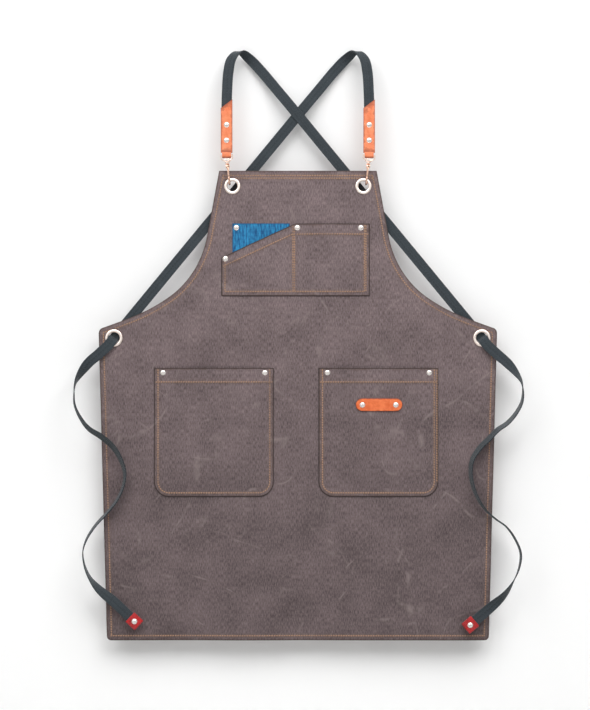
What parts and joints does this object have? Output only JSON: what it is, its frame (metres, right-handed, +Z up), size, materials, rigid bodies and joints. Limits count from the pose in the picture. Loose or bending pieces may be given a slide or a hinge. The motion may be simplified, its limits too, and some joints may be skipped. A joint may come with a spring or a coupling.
{
  "type": "cross-back work apron",
  "caption": "Cross-back canvas work apron with chest and skirt pockets, leather tabs, swivel snap hooks, webbing straps and leather-tipped tails, hanging by its shoulder loops.",
  "frame": {"origin": "midpoint between the undersides of the two shoulder loops that the apron hangs by", "axes": "+Z up, the front of the apron faces -Y, +X to the viewer's right"},
  "size_m": [0.7828, 0.0524, 1.0272],
  "materials": {
    "canvas": "matte",
    "webbing": "matte",
    "orange_leather": "satin",
    "red_leather": "glossy",
    "blue_cloth": "matte",
    "rose_gold": "polished",
    "pale_rivet": "polished",
    "spring_steel": "satin"
  },
  "bodies": {
    "apron": {"apron_panel": "canvas", "chest_pocket": "canvas", "pocket_lining": "blue_cloth", "left_pocket": "canvas", "right_pocket": "canvas", "leather_label": "orange_leather", "chest_rivet_left": "pale_rivet", "chest_rivet_left_back": "pale_rivet", "chest_rivet_middle": "pale_rivet", "chest_rivet_middle_back": "pale_rivet", "chest_rivet_right": "pale_rivet", "chest_rivet_right_back": "pale_rivet", "lining_rivet": "pale_rivet", "lining_rivet_back": "pale_rivet", "left_pocket_rivet_outer": "pale_rivet", "left_pocket_rivet_outer_back": "pale_rivet", "left_pocket_rivet_inner": "pale_rivet", "left_pocket_rivet_inner_back": "pale_rivet", "right_pocket_rivet_outer": "pale_rivet", "right_pocket_rivet_outer_back": "pale_rivet", "right_pocket_rivet_inner": "pale_rivet", "right_pocket_rivet_inner_back": "pale_rivet", "label_rivet_left": "pale_rivet", "label_rivet_left_back": "pale_rivet", "label_rivet_right": "pale_rivet", "label_rivet_right_back": "pale_rivet", "left_shoulder_strap": "webbing", "right_shoulder_strap": "webbing", "left_bib_eyelet": "rose_gold", "left_bib_eyelet_washer": "rose_gold", "left_waist_eyelet": "rose_gold", "left_waist_eyelet_washer": "rose_gold", "left_leather_tab": "orange_leather", "left_tab_rivet_upper": "pale_rivet", "left_tab_rivet_lower": "pale_rivet", "right_bib_eyelet": "rose_gold", "right_bib_eyelet_washer": "rose_gold", "right_waist_eyelet": "rose_gold", "right_waist_eyelet_washer": "rose_gold", "right_leather_tab": "orange_leather", "right_tab_rivet_upper": "pale_rivet", "right_tab_rivet_lower": "pale_rivet"},
    "left_eye": {"left_hook_eye": "rose_gold"},
    "left_hook_body": {"left_hook": "rose_gold", "left_gate_pin": "spring_steel", "left_gate_spring": "spring_steel"},
    "left_gate": {"left_hook_gate": "rose_gold"},
    "left_tail": {"left_strap_tail": "webbing", "left_strap_tip": "red_leather", "left_tip_rivet": "pale_rivet"},
    "right_eye": {"right_hook_eye": "rose_gold"},
    "right_hook_body": {"right_hook": "rose_gold", "right_gate_pin": "spring_steel", "right_gate_spring": "spring_steel"},
    "right_gate": {"right_hook_gate": "rose_gold"},
    "right_tail": {"right_strap_tail": "webbing", "right_strap_tip": "red_leather", "right_tip_rivet": "pale_rivet"}
  },
  "joints": [
    {"name": "left_eye_swing", "type": "hinge", "parent": "apron", "child": "left_eye", "pos_m": [-0.124, 0, -0.18089], "axis": [1, 0, 0], "range_deg": [-2, 2]},
    {"name": "left_hook_swivel", "type": "hinge", "parent": "left_eye", "child": "left_hook_body", "pos_m": [-0.124, 0, -0.18089], "axis": [-0.1045, 0, 0.9945], "range_deg": [-10, 10]},
    {"name": "left_gate_hinge", "type": "hinge", "parent": "left_hook_body", "child": "left_gate", "pos_m": [-0.12203, -0.0072, -0.1996], "axis": [0.9945, 0, 0.1045], "range_deg": [0, 12], "stiffness_Nm_per_rad": 0.02, "springref_deg": -14.32},
    {"name": "left_tail_swing", "type": "hinge", "parent": "apron", "child": "left_tail", "pos_m": [-0.32091, -0.00305, -0.4996], "axis": [-0.7726, 0, 0.6349], "range_deg": [0, 50]},
    {"name": "right_eye_swing", "type": "hinge", "parent": "apron", "child": "right_eye", "pos_m": [0.124, 0, -0.18089], "axis": [1, 0, 0], "range_deg": [-2, 2]},
    {"name": "right_hook_swivel", "type": "hinge", "parent": "right_eye", "child": "right_hook_body", "pos_m": [0.124, 0, -0.18089], "axis": [0.1045, 0, 0.9945], "range_deg": [-10, 10]},
    {"name": "right_gate_hinge", "type": "hinge", "parent": "right_hook_body", "child": "right_gate", "pos_m": [0.12203, -0.0072, -0.1996], "axis": [0.9945, 0, -0.1045], "range_deg": [0, 12], "stiffness_Nm_per_rad": 0.02, "springref_deg": -14.32},
    {"name": "right_tail_swing", "type": "hinge", "parent": "apron", "child": "right_tail", "pos_m": [0.32091, -0.00305, -0.4996], "axis": [-0.7726, 0, -0.6349], "range_deg": [0, 50]}
  ]
}
